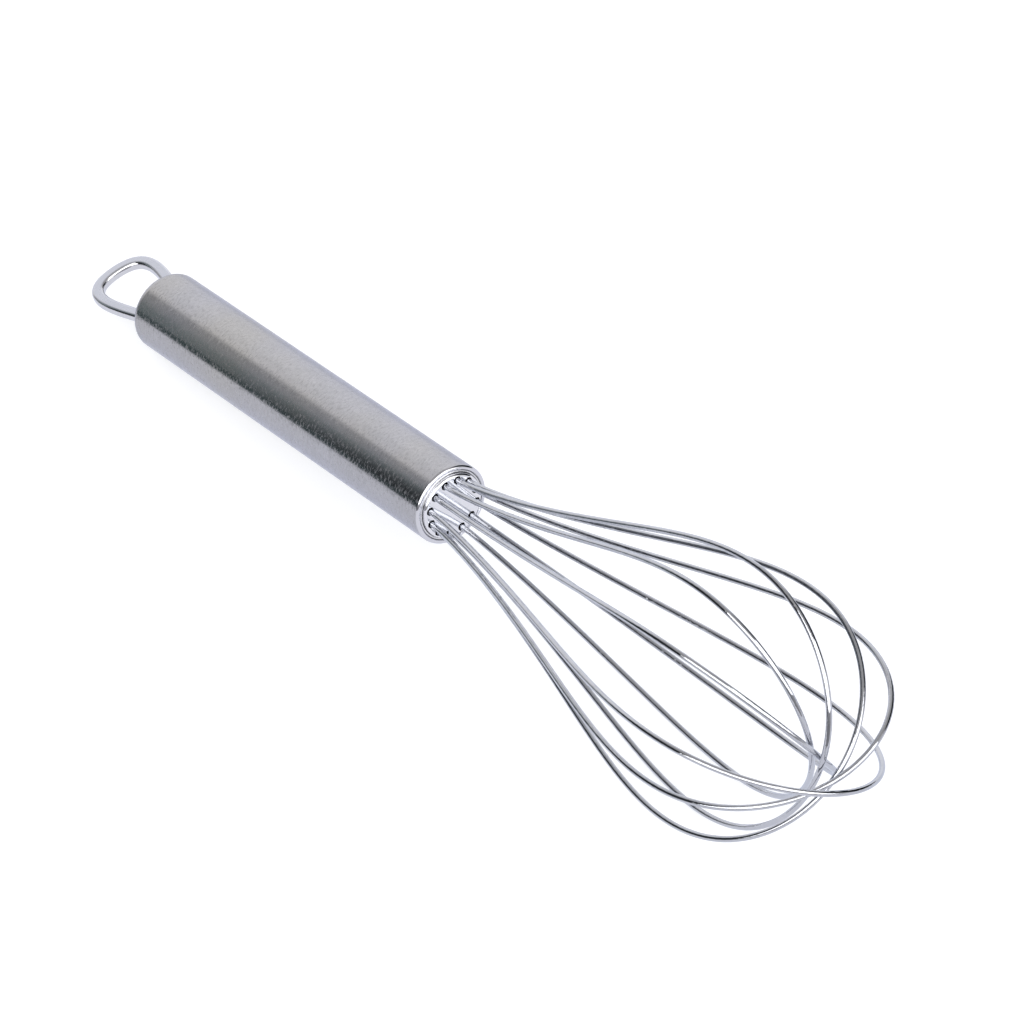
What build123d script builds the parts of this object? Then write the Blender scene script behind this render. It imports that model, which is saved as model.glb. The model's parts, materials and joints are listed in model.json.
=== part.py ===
"""Balloon whisk: brushed tube handle with a hanging loop, and a balloon of six spring wire loops.

Millimetres. The whisk is modelled along its own axis, +X from the handle to the tip of the balloon,
with x = 0 at the front face of the end disc, where the wires come out. At the end it is laid down as
it rests on a table: on the edge of its tail and on two neighbouring wires, with the table at z = 0.
Angles around the axis are in degrees, from +Y towards +Z.
"""

from build123d import *
from math import cos, radians, sin
from typing import NamedTuple
import os

# ---- driving dimensions -------------------------------------------------------------------------

HANDLE_RADIUS = 11.0
HANDLE_WALL = 0.8
HANDLE_BACK = -128.8          # outer face of the closed tail
TAIL_ROUNDING = 2.5
LIP_FRONT = -0.8              # the lip stands back from the face of the disc
LIP_INNER_RADIUS = 9.78
LIP_DEPTH = 4.4
LIP_ROUNDING = 0.8
LIP_INNER_ROUNDING = 0.3

RING_OUTER_RADIUS = 9.7
RING_INNER_RADIUS = 9.12
RING_FRONT = -1.0
RING_BACK = -4.0
RING_ROUNDING = 0.25

DISC_RADIUS = 9.05
DISC_THICKNESS = 2.5
DISC_SHOULDER = 0.8
DISC_HOLE_RADIUS = 1.05       # the wires pass the disc with room to spare; the potting holds them
DISC_HOLE_FLARE = 0.12        # depth and width of the flared rim of each hole

WIRE_RADIUS = 0.75
WIRE_END = -26.0              # where the buried wire ends stop
HOLE_CIRCLE_RADIUS = 7.42
HOLE_COUNT = 12
FIRST_HOLE_ANGLE = 75.97
WIRE_FIT = 0.03               # radial gap between a wire and the piece it passes through

SEAL_FRONT = -2.55
SEAL_STEP = -5.8              # behind the lip the potting fills the whole bore
SEAL_BACK = -21.9
PLATE_FRONT = -22.0
PLATE_THICKNESS = 2.0
PIECE_GAP = 0.05              # gap between neighbouring pieces inside the tube

BAR_WIDTH = 3.5               # hanging loop, across its flat face
BAR_THICKNESS = 2.8
BAR_EDGE = 1.0                # rounding of its four edges
BAR_FIT = 0.04                # gap all round a leg of the loop in its slot
EYE_ANGLE = 13.37             # direction across the eye, around the axis
EYE_REACH = 24.6              # from the tail face to the middle of the bar at its tip
LEG_SPACING = 10.5            # between the middles of the two legs at the tail face
LEG_BURIED = 9.0
ANCHOR_FRONT = -121.5
ANCHOR_THICKNESS = 2.0

REST_TILT = 5.44              # how far the axis rises towards the balloon when it lies down


class Loop(NamedTuple):
    """One wire loop of the balloon. Each has been bent by hand, so no two are quite the same."""

    reach: float        # from the disc to the tip of the loop
    wide: float         # width on the side of its first hole, against the common outline
    far_wide: float     # width on the side of the opposite hole
    lean: float         # how far the tip lies off the axis, within the loop's plane
    tilt: float         # how far the tip lies off the axis, out of that plane
    twist: float        # how far the bulge is turned about the axis from its holes, in degrees


LOOPS = (
    Loop(reach=141.7, wide=0.98, far_wide=1.16, lean=5.1, tilt=1.2, twist=0.9),
    Loop(reach=138.3, wide=0.97, far_wide=1.22, lean=7.9, tilt=1.0, twist=-2.9),
    Loop(reach=139.8, wide=1.06, far_wide=0.92, lean=0.7, tilt=0.0, twist=-9.3),
    Loop(reach=149.2, wide=0.95, far_wide=0.87, lean=-0.7, tilt=4.0, twist=-8.0),
    Loop(reach=146.2, wide=0.98, far_wide=0.82, lean=-4.5, tilt=2.0, twist=1.0),
    Loop(reach=144.3, wide=0.96, far_wide=0.99, lean=1.1, tilt=2.1, twist=-4.5),
)

# The common outline of a loop's half, as the control points of one smooth curve. It leaves the disc
# along the axis, swells to the bulge and crosses the tip square to the axis.
COMMON_REACH = 143.3
OUTLINE_LEAD = 12.8           # straight lead out of the disc
OUTLINE_FLARE = (95.4, 24.8)  # along the axis, off the axis
OUTLINE_BULGE = (93.9, 50.4)
OUTLINE_CROWN = 34.8          # off the axis, level with the tip


def around(radius, angle, x=0.0):
    """The point at a radius and an angle around the whisk's axis."""
    return Vector(x, radius * cos(radians(angle)), radius * sin(radians(angle)))


def disc(front, thickness, radius):
    """A plain round plate whose front face is at x = front."""
    face = Plane(origin=(front, 0, 0), z_dir=(-1, 0, 0)) * Circle(radius)
    return extrude(face, amount=thickness)


def front_circles(shape):
    """The circular edges at the very front of a piece."""
    return shape.edges().filter_by(GeomType.CIRCLE).group_by(Axis.X)[-1]


def hole_angle(hole):
    """The angle of a numbered hole in the ring of wire holes."""
    return FIRST_HOLE_ANGLE + hole * 360 / HOLE_COUNT


def wire_bores(radius=WIRE_RADIUS + WIRE_FIT):
    """The straight bores that the buried wire ends lie in, as solids to cut away."""
    bores = []
    for hole in range(HOLE_COUNT):
        mouth = around(HOLE_CIRCLE_RADIUS, hole_angle(hole), x=1.0)
        start = Plane(origin=mouth, z_dir=(-1, 0, 0))
        bores.append(extrude(start * Circle(radius), amount=1.0 - WIRE_END + 1.0))
    return bores


# ---- wire loops -----------------------------------------------------------------------------------

def half_outline(loop, hole, far):
    """Control points of one half of a loop, from its foot in the disc to the tip."""
    side = -1 if far else 1
    width = loop.far_wide if far else loop.wide
    outline = (
        (0.0, HOLE_CIRCLE_RADIUS, 0.0),
        (OUTLINE_LEAD, HOLE_CIRCLE_RADIUS, 0.0),
        (OUTLINE_FLARE[0], OUTLINE_FLARE[1] * width, loop.twist / 2),
        (OUTLINE_BULGE[0] * loop.reach / COMMON_REACH, OUTLINE_BULGE[1] * width, loop.twist),
        (loop.reach, OUTLINE_CROWN, loop.twist),
        (loop.reach, 0.0, loop.twist),
    )
    points = []
    for x, radius, twist in outline:
        angle = hole_angle(hole) + twist
        share = x / loop.reach if x > OUTLINE_LEAD else 0.0
        lean = around(loop.lean * share, angle)
        tilt = around(loop.tilt * share, angle + 90)
        points.append(around(side * radius, angle, x) + lean + tilt)
    return points


def wire_loop(loop, hole):
    """One spring wire: up from its hole, round the tip and back into the opposite hole."""
    near = half_outline(loop, hole, far=False)
    far = half_outline(loop, hole, far=True)
    near_end = around(HOLE_CIRCLE_RADIUS, hole_angle(hole), WIRE_END)
    far_end = around(-HOLE_CIRCLE_RADIUS, hole_angle(hole), WIRE_END)
    path = Wire([Line(near_end, near[0]), Bezier(*near), Bezier(*reversed(far)), Line(far[0], far_end)])
    section = Plane(origin=near_end, z_dir=(1, 0, 0)) * Circle(WIRE_RADIUS)
    return sweep(section, path=path)


# ---- hanging loop ---------------------------------------------------------------------------------

def eye_half():
    """The middle of the bar on one side of the eye, in distance behind the tail and off the axis."""
    return ((0, LEG_SPACING / 2), (11.1, 7.9), (EYE_REACH, 13.8), (EYE_REACH, 0))


def bar_path():
    """The middle of the bar: a buried leg, round the eye and the other buried leg."""
    def place(back, off):
        return around(off, EYE_ANGLE, HANDLE_BACK - back)

    near = [place(back, off) for back, off in eye_half()]
    far = [place(back, -off) for back, off in reversed(eye_half())]
    near_buried = near[0] + (near[0] - near[1]).normalized() * LEG_BURIED
    far_buried = far[-1] + (far[-1] - far[-2]).normalized() * LEG_BURIED
    return Wire([Line(near_buried, near[0]), Bezier(*near), Bezier(*far), Line(far[-1], far_buried)])


def bar(grown=0.0):
    """The bar of the hanging loop, made thicker all round to cut the slots it sits in."""
    path = bar_path()
    start = Plane(origin=path @ 0, x_dir=around(1, EYE_ANGLE + 90), z_dir=path % 0)
    section = RectangleRounded(BAR_THICKNESS + 2 * grown, BAR_WIDTH + 2 * grown, BAR_EDGE)
    return sweep(start * section, path=path)


# ---- handle ---------------------------------------------------------------------------------------

def handle_tube():
    """The tube: closed and rounded at the tail, with its lip rolled in around the disc."""
    bore = HANDLE_RADIUS - HANDLE_WALL
    tail_flat = HANDLE_RADIUS - TAIL_ROUNDING
    tail_bend = HANDLE_BACK + TAIL_ROUNDING
    lip_back = LIP_FRONT - LIP_DEPTH
    step = bore - LIP_INNER_RADIUS
    profile = make_face(
        [
            Line((HANDLE_BACK, 0), (HANDLE_BACK, tail_flat)),
            RadiusArc((HANDLE_BACK, tail_flat), (tail_bend, HANDLE_RADIUS), TAIL_ROUNDING),
            Polyline(
                (tail_bend, HANDLE_RADIUS),
                (LIP_FRONT, HANDLE_RADIUS),
                (LIP_FRONT, LIP_INNER_RADIUS),
                (lip_back, LIP_INNER_RADIUS),
                (lip_back - step, bore),
                (tail_bend, bore),
            ),
            RadiusArc(
                (tail_bend, bore),
                (HANDLE_BACK + HANDLE_WALL, tail_flat),
                -(TAIL_ROUNDING - HANDLE_WALL),
            ),
            Polyline(
                (HANDLE_BACK + HANDLE_WALL, tail_flat),
                (HANDLE_BACK + HANDLE_WALL, 0),
                (HANDLE_BACK, 0),
            ),
        ]
    )
    tube = revolve(profile, axis=Axis.X)
    rim = front_circles(tube).sort_by(SortBy.RADIUS)[-1]
    tube = fillet(rim, LIP_ROUNDING)
    mouth = front_circles(tube).sort_by(SortBy.RADIUS)[0]
    tube = fillet(mouth, LIP_INNER_ROUNDING)
    return tube - bar(grown=BAR_FIT)


def retaining_ring():
    """The thin ring that fills the gap between the lip and the disc, rounded at the front."""
    ring = disc(RING_FRONT, RING_FRONT - RING_BACK, RING_OUTER_RADIUS)
    ring -= disc(RING_FRONT, RING_FRONT - RING_BACK, RING_INNER_RADIUS)
    return fillet(front_circles(ring), RING_ROUNDING)


def end_disc():
    """The drilled disc that closes the mouth of the tube: rounded shoulder and flared holes."""
    plate = disc(0, DISC_THICKNESS, DISC_RADIUS)
    plate = fillet(front_circles(plate), DISC_SHOULDER)
    plate -= wire_bores(DISC_HOLE_RADIUS)
    rim = Cone(DISC_HOLE_RADIUS, DISC_HOLE_RADIUS + 2 * DISC_HOLE_FLARE, 2 * DISC_HOLE_FLARE)
    for hole in range(HOLE_COUNT):
        mouth = around(HOLE_CIRCLE_RADIUS, hole_angle(hole))
        plate -= Plane(origin=mouth, z_dir=(1, 0, 0)) * rim
    return plate


def front_seal():
    """The potting that holds the wires and seals the tube: it fills the bore behind the disc."""
    bore = HANDLE_RADIUS - HANDLE_WALL - PIECE_GAP
    neck = disc(SEAL_FRONT, SEAL_FRONT - SEAL_STEP, DISC_RADIUS)
    body = disc(SEAL_STEP, SEAL_STEP - SEAL_BACK, bore)
    return neck + body - wire_bores()


def inner_plate():
    """The drilled plate behind the potting that keeps the wire ends parallel."""
    bore = HANDLE_RADIUS - HANDLE_WALL - PIECE_GAP
    return disc(PLATE_FRONT, PLATE_THICKNESS, bore) - wire_bores()


def tail_anchor():
    """The slotted plate inside the tail that both legs of the hanging loop are staked in."""
    bore = HANDLE_RADIUS - HANDLE_WALL - PIECE_GAP
    return disc(ANCHOR_FRONT, ANCHOR_THICKNESS, bore) - bar(grown=BAR_FIT)


# ---- the whole whisk ------------------------------------------------------------------------------

nodes = {
    "handle_tube": handle_tube(),
    "retaining_ring": retaining_ring(),
    "end_disc": end_disc(),
    "front_seal": front_seal(),
    "inner_plate": inner_plate(),
    "tail_anchor": tail_anchor(),
    "hanging_loop": bar(),
}
for hole, loop in enumerate(LOOPS):
    nodes[f"wire_loop_{hole + 1}"] = wire_loop(loop, hole)

lying = {name: Rotation(0, -REST_TILT, 0) * shape for name, shape in nodes.items()}
box = Compound(list(lying.values())).bounding_box()
to_table = Location((-box.center().X, -box.center().Y, -box.min.Z))

os.makedirs("parts", exist_ok=True)
for name, shape in lying.items():
    export_step(to_table * shape, f"parts/{name}.step")
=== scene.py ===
"""Balloon whisk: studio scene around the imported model. Metres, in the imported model's own frame."""

import json
from math import cos, pi, radians, sin

import bpy
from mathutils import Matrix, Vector


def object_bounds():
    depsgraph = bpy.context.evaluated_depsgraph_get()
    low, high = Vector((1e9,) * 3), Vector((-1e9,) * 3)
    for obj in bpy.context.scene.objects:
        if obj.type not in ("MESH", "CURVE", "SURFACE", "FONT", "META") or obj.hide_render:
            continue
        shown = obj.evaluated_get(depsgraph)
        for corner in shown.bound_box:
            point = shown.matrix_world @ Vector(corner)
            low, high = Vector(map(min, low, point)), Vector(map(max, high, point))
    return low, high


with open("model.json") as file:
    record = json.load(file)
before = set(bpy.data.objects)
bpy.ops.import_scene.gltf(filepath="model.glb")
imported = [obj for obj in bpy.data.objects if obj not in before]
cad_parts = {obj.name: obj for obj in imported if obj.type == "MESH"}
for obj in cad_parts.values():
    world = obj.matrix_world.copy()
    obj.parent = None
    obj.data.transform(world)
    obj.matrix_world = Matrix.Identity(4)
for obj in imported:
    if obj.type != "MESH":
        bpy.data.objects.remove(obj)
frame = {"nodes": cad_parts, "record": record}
cad_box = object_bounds()

NODES = frame["nodes"]
MOUNTS = {m["name"]: m for m in frame["record"]["mounts"]}
GRIP = Vector(MOUNTS["handle_grip"]["pos_m"])
AXIS = -Vector(MOUNTS["handle_grip"]["axis"])  # from the tail towards the balloon
LIP_STARTS = MOUNTS["handle_grip"]["dims"]["length_mm"] / 2000  # the straight tube ends this far from GRIP
EYE = Vector(MOUNTS["hanging_eye"]["pos_m"])
EYE_NORMAL = Vector(MOUNTS["hanging_eye"]["axis"])

# ---- small helpers for shader trees -------------------------------------------------------------

NOISE_LOW, NOISE_HIGH = 0.3, 0.7  # most of a noise's values lie between these


class Tree:
    """The emptied shader tree of a material or a world, with short ways to add and join nodes."""

    def __init__(self, owner, shader, output):
        owner.use_nodes = True
        self.owner = owner
        self.tree = owner.node_tree
        self.tree.nodes.clear()
        self.shader = self.add(shader)
        self.join(self.shader.outputs[0], self.add(output).inputs["Surface"])

    def add(self, kind, **settings):
        made = self.tree.nodes.new(kind)
        for key, value in settings.items():
            setattr(made, key, value)
        return made

    def join(self, source, target):
        self.tree.links.new(source, target)

    def feed(self, target, value):
        """Give an input another node's output, or a plain value."""
        if isinstance(value, bpy.types.NodeSocket):
            self.join(value, target)
        else:
            target.default_value = value

    def give(self, name, value):
        """Feed one of the shader's own inputs."""
        self.feed(self.shader.inputs[name], value)

    def math(self, operation, *values):
        made = self.add("ShaderNodeMath", operation=operation)
        for socket, value in zip(made.inputs, values):
            self.feed(socket, value)
        return made.outputs[0]

    def vector(self, operation, a, b=None):
        made = self.add("ShaderNodeVectorMath", operation=operation)
        self.feed(made.inputs[0], a)
        if b is not None:
            self.feed(made.inputs[1], b)
        scalar = operation in ("DOT_PRODUCT", "LENGTH")
        return made.outputs["Value" if scalar else "Vector"]

    def combine(self, x, y, z):
        made = self.add("ShaderNodeCombineXYZ")
        for socket, value in zip(made.inputs, (x, y, z)):
            self.feed(socket, value)
        return made.outputs[0]

    def stretched(self, first, first_rate, second, second_rate, shift=0.0):
        """Where to look up a noise that has its own density in each of two directions."""
        return self.combine(self.math("MULTIPLY", first, first_rate),
                            self.math("MULTIPLY", second, second_rate), shift)

    def noise(self, where, scale=1.0, detail=2.0, roughness=0.5):
        made = self.add("ShaderNodeTexNoise")
        self.feed(made.inputs["Vector"], where)
        self.feed(made.inputs["Scale"], scale)
        self.feed(made.inputs["Detail"], detail)
        self.feed(made.inputs["Roughness"], roughness)
        return made.outputs[0]

    def spread(self, value, low, high, to_low, to_high, smooth=False):
        made = self.add("ShaderNodeMapRange")
        made.interpolation_type = "SMOOTHSTEP" if smooth else "LINEAR"
        for socket, number in zip(made.inputs, (value, low, high, to_low, to_high)):
            self.feed(socket, number)
        return made.outputs[0]

    def vary(self, noise, least, most):
        """A noise turned into a value between least and most."""
        return self.spread(noise, NOISE_LOW, NOISE_HIGH, least, most)

    def blend(self, factor, a, b, how="MIX"):
        made = self.add("ShaderNodeMix", data_type="RGBA", blend_type=how)
        self.feed(made.inputs["Factor"], factor)
        self.feed(made.inputs[6], (*a, 1) if isinstance(a, tuple) else a)
        self.feed(made.inputs[7], (*b, 1) if isinstance(b, tuple) else b)
        return made.outputs[2]

    def shaded(self, tone, shade):
        """A colour made lighter or darker by a factor near 1."""
        return self.blend(1.0, tone, self.combine(shade, shade, shade), "MULTIPLY")

    def bump(self, height, strength, distance, under=None):
        made = self.add("ShaderNodeBump")
        made.inputs["Strength"].default_value = strength
        made.inputs["Distance"].default_value = distance
        self.join(height, made.inputs["Height"])
        if under is not None:
            self.join(under, made.inputs["Normal"])
        return made.outputs["Normal"]

    def place(self):
        """The point on the surface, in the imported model's frame, in metres."""
        return self.add("ShaderNodeTexCoord").outputs["Object"]

    def along_whisk(self):
        """(along, angle, radius) of the point about the whisk's own axis, measured from the grip."""
        offset = self.vector("SUBTRACT", self.place(), GRIP)
        side = AXIS.cross(Vector((0, 0, 1))).normalized()
        along = self.vector("DOT_PRODUCT", offset, AXIS)
        across = self.vector("DOT_PRODUCT", offset, side)
        over = self.vector("DOT_PRODUCT", offset, side.cross(AXIS))
        radius = self.math("SQRT", self.math("ADD", self.math("POWER", across, 2.0),
                                             self.math("POWER", over, 2.0)))
        return along, self.math("ARCTAN2", over, across), radius


def plain(name):
    """A material with one Principled shader."""
    return Tree(bpy.data.materials.new(name), "ShaderNodeBsdfPrincipled", "ShaderNodeOutputMaterial")


def metal(name, edge_tint=(1.0, 1.0, 1.0)):
    """A bare metal to be given its colour, roughness and bump."""
    made = plain(name)
    made.give("Metallic", 1.0)
    made.give("Specular Tint", (*edge_tint, 1))
    return made


# ---- materials ----------------------------------------------------------------------------------

# Noise densities are per metre, or per radian around the whisk.
BRUSHED_DEPTH = 0.00002
POLISHED_DEPTH = 0.00001
PIT_DEPTH = 0.00005
LIP_BORDER = 0.0004  # width over which the satin tube turns into the polished lip


def satin_tube():
    """Satin steel, brushed round the tube in short fine streaks, with duller flecks and a bright lip."""
    made = metal("satin_tube", edge_tint=(0.80, 0.82, 0.90))
    along, angle, _ = made.along_whisk()
    fine = made.noise(made.stretched(along, 3000.0, angle, 14.0), detail=3.0, roughness=0.6)
    streaks = made.noise(made.stretched(along, 1300.0, angle, 5.0, shift=4.0), roughness=0.6)
    flecks = made.noise(made.stretched(along, 1800.0, angle, 9.0, shift=9.0), detail=1.0)
    mottle = made.noise(made.place(), scale=120.0, detail=4.0, roughness=0.6)
    drift = made.noise(made.place(), scale=30.0)
    lip = made.spread(along, LIP_STARTS, LIP_STARTS + LIP_BORDER, 0.0, 1.0, smooth=True)

    clouds = made.spread(mottle, 0.35, 0.65, 0.0, 1.0)
    tone = made.blend(clouds, (0.438, 0.436, 0.447), (0.462, 0.459, 0.476))
    tone = made.blend(made.spread(drift, 0.46, 0.66, 0.0, 0.7), tone, (0.455, 0.443, 0.420))
    fine_shade = made.spread(fine, 0.25, 0.75, 0.91, 1.09)
    streak_shade = made.spread(streaks, 0.25, 0.75, 0.92, 1.08)
    tone = made.shaded(tone, made.math("MULTIPLY", fine_shade, streak_shade))
    made.give("Base Color", made.blend(lip, tone, (0.66, 0.66, 0.69)))

    dull = made.math("MULTIPLY", made.spread(flecks, 0.48, 0.68, 0.0, 1.0), 0.24)
    satin = made.math("ADD", made.vary(streaks, 0.11, 0.18), made.vary(fine, -0.02, 0.04))
    satin = made.math("ADD", satin, dull)
    satin_share = made.math("MULTIPLY", satin, made.math("SUBTRACT", 1.0, lip))
    polish_share = made.math("MULTIPLY", made.vary(mottle, 0.05, 0.09), lip)
    made.give("Roughness", made.math("ADD", satin_share, polish_share))

    relief = made.bump(fine, 0.16, BRUSHED_DEPTH)
    made.give("Normal", made.bump(streaks, 0.06, BRUSHED_DEPTH, relief))
    return made.owner


def satin_bar():
    """The hanging loop: lightly satined flat faces, polished sides, fine grinding along the bar."""
    made = metal("satin_bar", edge_tint=(0.88, 0.90, 0.94))
    normal = made.add("ShaderNodeNewGeometry").outputs["Normal"]
    facing = made.math("ABSOLUTE", made.vector("DOT_PRODUCT", normal, EYE_NORMAL))
    flat = made.spread(facing, 0.80, 0.97, 0.0, 1.0)
    reach = made.vector("LENGTH", made.vector("SUBTRACT", made.place(), EYE))
    grind = made.noise(made.combine(made.math("MULTIPLY", reach, 4200.0), 0.0, 0.0))
    scuff = made.noise(made.place(), scale=420.0, detail=3.0)

    tone = made.blend(flat, (0.66, 0.66, 0.68), (0.586, 0.60, 0.65))
    made.give("Base Color", made.shaded(tone, made.vary(grind, 0.95, 1.05)))
    satin = made.spread(flat, 0.0, 1.0, 0.05, 0.27)
    made.give("Roughness", made.math("ADD", satin, made.vary(scuff, -0.01, 0.03)))
    made.give("Normal", made.bump(grind, 0.12, POLISHED_DEPTH))
    return made.owner


def polished_turning(name, tone_low, tone_high, rough_low, rough_high):
    """Polished steel that was turned: faint rings about the whisk's axis and fine rubbing marks."""
    made = metal(name)
    along, _, radius = made.along_whisk()
    rings = made.noise(made.stretched(radius, 5200.0, along, 2400.0))
    rubbing = made.noise(made.place(), scale=650.0, detail=4.0, roughness=0.65)

    made.give("Base Color", made.blend(made.vary(rubbing, 0.0, 1.0), tone_low, tone_high))
    rough = made.vary(rubbing, rough_low, rough_high)
    made.give("Roughness", made.math("ADD", rough, made.vary(rings, 0.0, 0.02)))
    made.give("Normal", made.bump(rings, 0.06, POLISHED_DEPTH))
    return made.owner


def drawn_wire():
    """Polished spring wire: small cloudy patches of wear and very fine specks."""
    made = metal("drawn_wire", edge_tint=(0.90, 0.94, 1.0))
    cloud = made.noise(made.place(), scale=140.0, detail=3.0)
    speck = made.noise(made.place(), scale=2200.0, roughness=0.6)

    tone = made.blend(made.vary(cloud, 0.0, 1.0), (0.51, 0.52, 0.55), (0.57, 0.58, 0.61))
    made.give("Base Color", made.shaded(tone, made.vary(speck, 0.96, 1.03)))
    rough = made.vary(cloud, 0.015, 0.035)
    made.give("Roughness", made.math("ADD", rough, made.vary(speck, 0.0, 0.01)))
    made.give("Normal", made.bump(speck, 0.05, POLISHED_DEPTH))
    return made.owner


def pressed_sheet():
    """The hidden plates: plain rolled sheet with mill lines."""
    made = metal("pressed_sheet")
    mill = made.noise(made.vector("MULTIPLY", made.place(), (300.0, 4000.0, 500.0)))
    made.give("Base Color", made.blend(mill, (0.42, 0.42, 0.42), (0.52, 0.52, 0.51)))
    made.give("Roughness", made.vary(mill, 0.30, 0.42))
    made.give("Normal", made.bump(mill, 0.1, BRUSHED_DEPTH))
    return made.owner


def cast_resin():
    """The hidden potting: dark cast resin with small pits."""
    made = plain("cast_resin")
    grain = made.noise(made.place(), scale=900.0, detail=4.0)
    made.give("Base Color", made.blend(grain, (0.020, 0.020, 0.019), (0.045, 0.044, 0.041)))
    made.give("Roughness", made.vary(grain, 0.42, 0.60))
    made.give("Normal", made.bump(grain, 0.2, PIT_DEPTH))
    return made.owner


finishes = {
    "handle_tube": satin_tube(),
    "hanging_loop": satin_bar(),
    "retaining_ring": polished_turning("ring_steel", (0.62, 0.62, 0.62), (0.70, 0.70, 0.71), 0.08, 0.14),
    "end_disc": polished_turning("disc_steel", (0.76, 0.76, 0.78), (0.82, 0.82, 0.84), 0.03, 0.06),
    "front_seal": cast_resin(),
    "inner_plate": pressed_sheet(),
    "tail_anchor": pressed_sheet(),
}
wire_finish = drawn_wire()
for name, piece in NODES.items():
    finish = finishes.get(name, wire_finish)
    for slot in piece.material_slots:
        slot.material = finish

# ---- camera -------------------------------------------------------------------------------------

centre = (Vector(cad_box[0]) + Vector(cad_box[1])) / 2

CAMERA_AZIMUTH = radians(-51.7)  # 0 looks along +Y
CAMERA_ELEVATION = radians(39.0)
CAMERA_DISTANCE = 1.1221
CAMERA_AIM = centre + Vector((0.0157, 0.0076, -0.0099))
FOCAL_LENGTH = 157.4  # millimetres, on a sensor 36 mm wide

AHEAD = Vector((sin(CAMERA_AZIMUTH), cos(CAMERA_AZIMUTH), 0))  # level, away from the camera
RIGHT = Vector((cos(CAMERA_AZIMUTH), -sin(CAMERA_AZIMUTH), 0))
looking = AHEAD * cos(CAMERA_ELEVATION) - Vector((0, 0, sin(CAMERA_ELEVATION)))
lens = bpy.data.cameras.new("camera")
lens.lens = FOCAL_LENGTH
lens.sensor_width = 36.0
lens.clip_start = 0.01
lens.clip_end = 50.0
camera = bpy.data.objects.new("camera", lens)
camera.location = CAMERA_AIM - CAMERA_DISTANCE * looking
camera.rotation_euler = (pi / 2 - CAMERA_ELEVATION, 0, -CAMERA_AZIMUTH)
bpy.context.scene.collection.objects.link(camera)
bpy.context.scene.camera = camera
bpy.context.scene.view_settings.view_transform = "Standard"

# ---- floor and dark card ------------------------------------------------------------------------

PAPER_ROUGHNESS = 0.9
DARK = (0.010, 0.014, 0.018)


def stage_sheet(name, corners, paper):
    """A flat four-cornered stage object."""
    mesh = bpy.data.meshes.new(name)
    mesh.from_pydata(corners, [], [(0, 1, 2, 3)])
    mesh.materials.append(paper.owner)
    made = bpy.data.objects.new(name, mesh)
    bpy.context.scene.collection.objects.link(made)
    return made


def only_mirrored(made):
    """Show a stage object in reflections alone."""
    made.visible_camera = False
    made.visible_diffuse = False
    made.visible_shadow = False


def floor_sheet(name, left, right, near, far, albedo, glow):
    """A level sheet of glowing white paper, with its sides square to the camera's view."""
    paper = plain(name + "_paper")
    grain = paper.noise(paper.place(), scale=60.0, detail=3.0)
    low = tuple(0.985 * c for c in albedo)
    paper.give("Base Color", paper.blend(grain, low, albedo))
    paper.give("Roughness", PAPER_ROUGHNESS)
    paper.give("Specular IOR Level", 0.1)
    paper.give("Emission Color", (0.98, 0.99, 1.0, 1))
    paper.give("Emission Strength", glow)
    corners = ((left, near), (right, near), (right, far), (left, far))
    return stage_sheet(name, [tuple(RIGHT * r + AHEAD * a) for r, a in corners], paper)


def upright_card(name, left, right, height, painted_edge_glow, fade, colour):
    """A dark card standing on the sheet's level, with a painted glow along its left edge that fades out over
    the length fade.
    """
    paper = plain(name + "_paper")
    start, end = Vector((*left, 0)), Vector((*right, 0))
    offset = paper.vector("SUBTRACT", paper.place(), start)
    along = paper.vector("DOT_PRODUCT", offset, (end - start).normalized())
    # Painted light: this glow brightens the card's left edge and fades out over the length fade.
    lit = paper.spread(along, 0.0, fade, 1.0, 0.0, smooth=True)
    paper.give("Base Color", (0.01, 0.01, 0.01, 1))
    paper.give("Roughness", PAPER_ROUGHNESS)
    paper.give("Emission Color", paper.blend(lit, colour, painted_edge_glow))
    paper.give("Emission Strength", 1.0)
    corners = [(*left, 0), (*right, 0), (*right, height), (*left, height)]
    return stage_sheet(name, corners, paper)


# The whisk lies near the left and front edges of a white sheet, and its metal mirrors where the
# sheet ends. The picture itself shows white on every side, from the wide floor.
floor = floor_sheet("floor", left=-4.0, right=4.0, near=-4.0, far=4.0, albedo=(0.50, 0.50, 0.505), glow=0.62)
floor.visible_glossy = False
only_mirrored(
    floor_sheet("sheet", left=-0.143, right=1.2, near=-0.235, far=1.6, albedo=(0.85, 0.85, 0.91), glow=0.17)
)

# The card draws the dark lines along the wires and the darkest part of the handle; the brighter colour along
# its left edge is a painted glow.
only_mirrored(
    upright_card("dark_card", left=(-0.484, -0.337), right=(-0.057, -0.631), height=0.77,
                 painted_edge_glow=(0.24, 0.28, 0.29), fade=0.12, colour=DARK)
)

# ---- studio light -------------------------------------------------------------------------------

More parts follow.
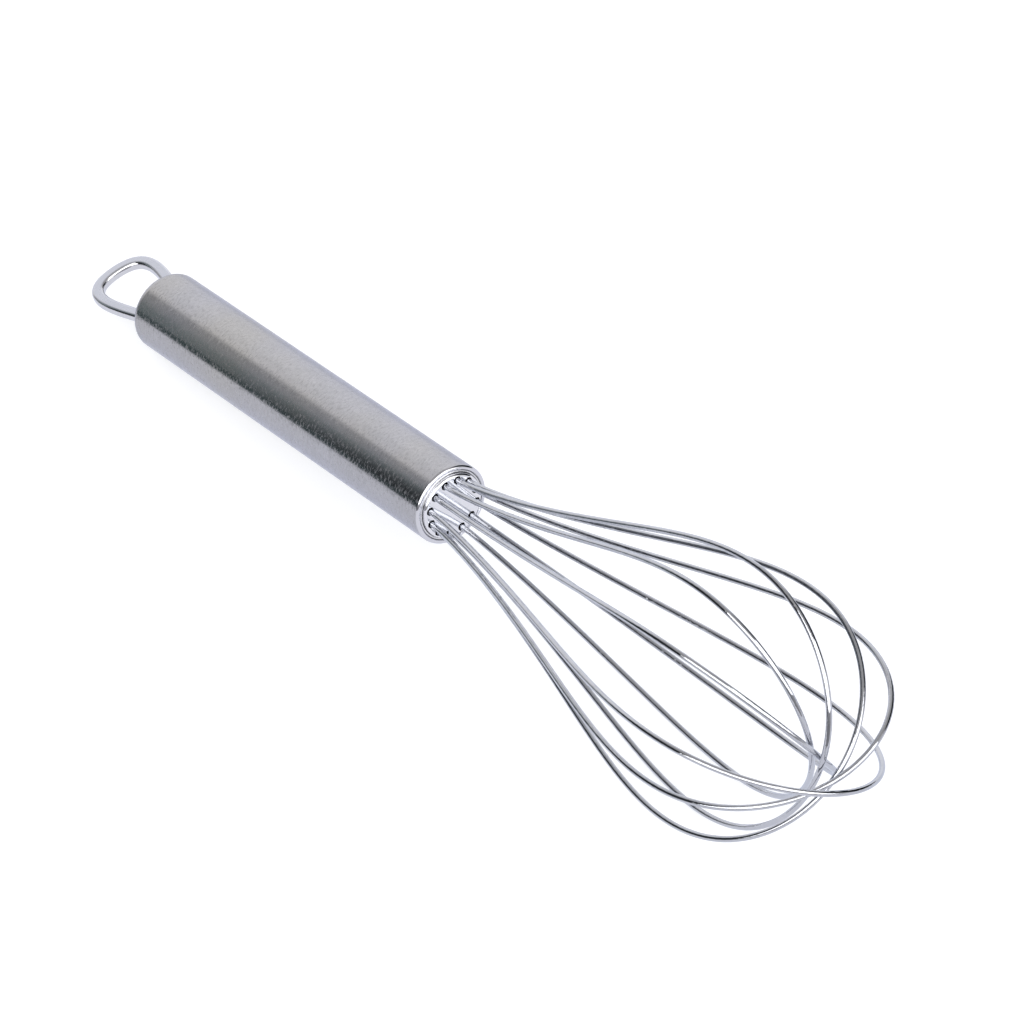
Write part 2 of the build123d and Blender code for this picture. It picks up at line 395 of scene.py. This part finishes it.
BACKDROP = (1.10, 1.10, 1.14)
CEILING = (0.485, 0.478, 0.482)
CEILING_FADE = (36, 68)  # elevations between which the walls turn into the ceiling
SOFTBOX = (2.6, 2.6, 2.65)
SOFTBOX_SIDES = (-100, 42)  # compass angles
SOFTBOX_RISE = (0.12, 0.88)  # its lower and upper edge, as the sine of the elevation
ROOM = (  # compass angle from +X towards +Y, and how bright the studio is there above the floor
    (-180, (1.02, 1.02, 1.06)),
    (-170, (1.00, 0.99, 1.02)),
    (-163, (0.92, 0.91, 0.92)),
    (-157, (0.42, 0.42, 0.44)),
    (-145, (0.42, 0.43, 0.46)),
    (-141, (0.26, 0.30, 0.31)),
    (-135, (0.08, 0.125, 0.13)),
    (-127, DARK),
    (-103, DARK),
    (-98, (0.40, 0.40, 0.42)),
    (40, (0.40, 0.40, 0.42)),
    (50, (0.80, 0.80, 0.82)),
    (57, (0.20, 0.20, 0.22)),
    (61, DARK),
    (99, DARK),
    (106, (0.35, 0.36, 0.38)),
    (112, (0.95, 0.95, 0.99)),
    (130, BACKDROP),
    (160, BACKDROP),
    (180, (1.02, 1.02, 1.06)),
)
BEYOND = (  # the same for what lies below the level of the sheet, past its edges
    (-180, (0.85, 0.85, 0.88)),
    (-160, (0.35, 0.36, 0.38)),
    (-140, (0.09, 0.13, 0.135)),
    (-128, (0.03, 0.04, 0.045)),
    (-98, (0.02, 0.025, 0.03)),
    (-90, (0.22, 0.22, 0.24)),
    (10, (0.38, 0.38, 0.40)),
    (40, (0.95, 0.95, 1.0)),
    (180, (0.95, 0.95, 1.0)),
)

world = bpy.data.worlds.new("studio")
bpy.context.scene.world = world
studio = Tree(world, "ShaderNodeBackground", "ShaderNodeOutputWorld")
direction = studio.add("ShaderNodeTexCoord").outputs["Generated"]
parts = studio.add("ShaderNodeSeparateXYZ")
studio.join(direction, parts.inputs[0])
compass = studio.math("DEGREES", studio.math("ARCTAN2", parts.outputs["Y"], parts.outputs["X"]))
rise = parts.outputs["Z"]


def all_round(stops):
    """A colour that changes with the compass angle."""
    ramp = studio.add("ShaderNodeValToRGB")
    studio.join(studio.spread(compass, -180, 180, 0, 1), ramp.inputs["Fac"])
    elements = ramp.color_ramp.elements
    while len(elements) < len(stops):
        elements.new(0.5)
    for element, (angle, colour) in zip(elements, stops):
        element.position = (angle + 180) / 360
        element.color = (*colour, 1)
    return ramp.outputs["Color"]


def between(value, start, end, soft):
    """1 between start and end, fading to 0 over the distance soft at each side."""
    up = studio.spread(value, start - soft, start + soft, 0, 1, smooth=True)
    down = studio.spread(value, end - soft, end + soft, 1, 0, smooth=True)
    return studio.math("MULTIPLY", up, down)


ceiling_starts, ceiling_full = (sin(radians(elevation)) for elevation in CEILING_FADE)
overhead = studio.spread(rise, ceiling_starts, ceiling_full, 0, 1, smooth=True)
walls = studio.blend(overhead, all_round(ROOM), CEILING)
box_shape = studio.math("MULTIPLY", between(compass, *SOFTBOX_SIDES, soft=2),
                        between(rise, *SOFTBOX_RISE, soft=0.015))
lit = studio.blend(box_shape, walls, SOFTBOX)
below = studio.spread(rise, -0.01, 0.01, 1, 0)
studio.give("Color", studio.blend(below, lit, all_round(BEYOND)))
studio.give("Strength", 1.0)
